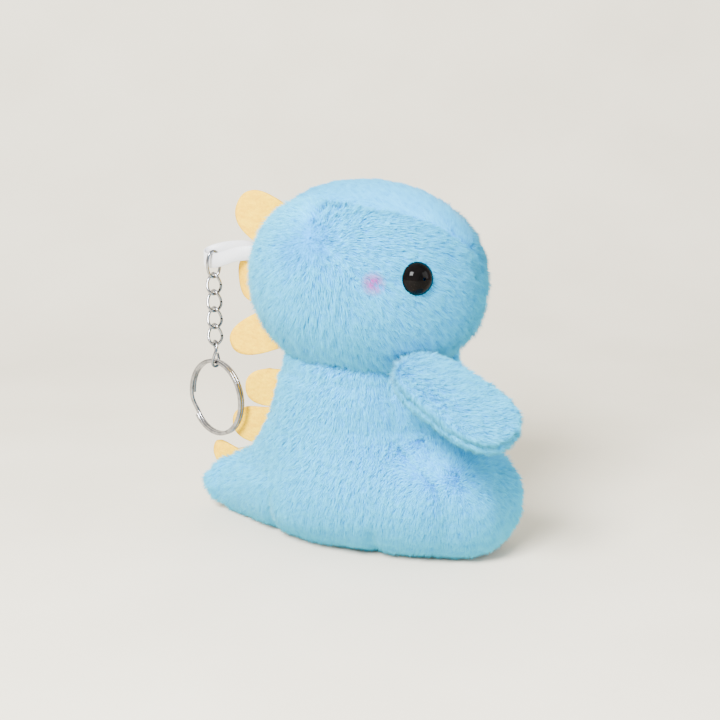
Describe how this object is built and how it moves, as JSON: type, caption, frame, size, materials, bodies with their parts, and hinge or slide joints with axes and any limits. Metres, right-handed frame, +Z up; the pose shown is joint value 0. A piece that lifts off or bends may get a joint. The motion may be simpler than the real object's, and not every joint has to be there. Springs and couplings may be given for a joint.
{
  "type": "plush keychain",
  "caption": "Stuffed plush dinosaur sitting on its base, with felt back spikes, hinged arms, and a ribbon loop that carries a chain and a split ring.",
  "frame": {"origin": "on the underside, in the plane the body rests on, midway between the two sides and under the middle of the toy", "axes": "+X forwards, out of the face; +Y to the toy's left; +Z up"},
  "size_m": [0.1342, 0.0861, 0.119],
  "materials": {
    "blue_pile": "short soft pile",
    "stuffing": "loose white fibre",
    "yellow_felt": "matt felt",
    "white_satin": "satin ribbon",
    "washer_plastic": "moulded",
    "black_plastic": "polished",
    "plated_steel": "bright plating"
  },
  "bodies": {
    "plush": {"head_side_panel_right": "blue_pile", "eye_right": "black_plastic", "eye_washer_right": "washer_plastic", "body_side_panel_right": "blue_pile", "head_side_panel_left": "blue_pile", "head_crown_panel": "blue_pile", "head_stuffing": "stuffing", "eye_left": "black_plastic", "eye_washer_left": "washer_plastic", "body_side_panel_left": "blue_pile", "belly_panel": "blue_pile", "base_panel": "blue_pile", "body_stuffing": "stuffing", "head_felt_strip": "yellow_felt", "back_felt_strip": "yellow_felt"},
    "arm_right": {"arm_right_upper_panel": "blue_pile", "arm_right_lower_panel": "blue_pile", "arm_right_stuffing": "stuffing"},
    "arm_left": {"arm_left_upper_panel": "blue_pile", "arm_left_lower_panel": "blue_pile", "arm_left_stuffing": "stuffing"},
    "ribbon": {"ribbon_loop": "white_satin"},
    "link_1": {"chain_link_1": "plated_steel"},
    "link_2": {"chain_link_2": "plated_steel"},
    "link_3": {"chain_link_3": "plated_steel"},
    "link_4": {"chain_link_4": "plated_steel"},
    "link_5": {"chain_link_5": "plated_steel"},
    "link_6": {"chain_link_6": "plated_steel"},
    "ring": {"split_ring": "plated_steel"}
  },
  "joints": [
    {"name": "arm_right_swing", "type": "hinge", "parent": "plush", "child": "arm_right", "pos_m": [0.0255, -0.0195, 0.064], "axis": [0, 1, 0], "range_deg": [-12, 38], "stiffness_Nm_per_rad": 0.05},
    {"name": "arm_left_swing", "type": "hinge", "parent": "plush", "child": "arm_left", "pos_m": [0.0205, 0.021, 0.062], "axis": [0, 1, 0], "range_deg": [-75, 2], "stiffness_Nm_per_rad": 0.05},
    {"name": "ribbon_swing", "type": "hinge", "parent": "plush", "child": "ribbon", "pos_m": [-0.038, 0, 0.0924], "axis": [0, 0, 1], "range_deg": [-35, 35], "stiffness_Nm_per_rad": 0.0005, "deforming": ["head_felt_strip", "back_felt_strip", "ribbon_loop"]},
    {"name": "link_1_swing", "type": "hinge", "parent": "ribbon", "child": "link_1", "pos_m": [-0.056, -0.0012, 0.0918], "axis": [-1, 0, 0], "range_deg": [-40, 40], "deforming": ["head_felt_strip", "back_felt_strip", "ribbon_loop"]},
    {"name": "link_2_swing", "type": "hinge", "parent": "link_1", "child": "link_2", "pos_m": [-0.056, -0.0012, 0.08355], "axis": [0.5, 0.866, 0], "range_deg": [-5, 40], "deforming": ["head_felt_strip", "back_felt_strip"]},
    {"name": "link_3_swing", "type": "hinge", "parent": "link_2", "child": "link_3", "pos_m": [-0.056, -0.0012, 0.07765], "axis": [0.866, -0.5, 0], "range_deg": [-30, 20], "deforming": ["head_felt_strip", "back_felt_strip"]},
    {"name": "link_4_swing", "type": "hinge", "parent": "link_3", "child": "link_4", "pos_m": [-0.056, -0.0012, 0.07175], "axis": [0.5, 0.866, 0], "range_deg": [-5, 40], "deforming": ["head_felt_strip", "back_felt_strip"]},
    {"name": "link_5_swing", "type": "hinge", "parent": "link_4", "child": "link_5", "pos_m": [-0.056, -0.0012, 0.06585], "axis": [-0.866, 0.5, 0], "range_deg": [-4, 30], "deforming": ["head_felt_strip", "back_felt_strip"]},
    {"name": "link_6_swing", "type": "hinge", "parent": "link_5", "child": "link_6", "pos_m": [-0.056, -0.0012, 0.05995], "axis": [0.5, 0.866, 0], "range_deg": [-5, 40], "deforming": ["head_felt_strip", "back_felt_strip"]},
    {"name": "ring_swing", "type": "hinge", "parent": "link_6", "child": "ring", "pos_m": [-0.056, -0.0012, 0.052], "axis": [0.2924, 0.9563, 0], "range_deg": [-10, 60], "deforming": ["head_felt_strip", "back_felt_strip"]}
  ]
}
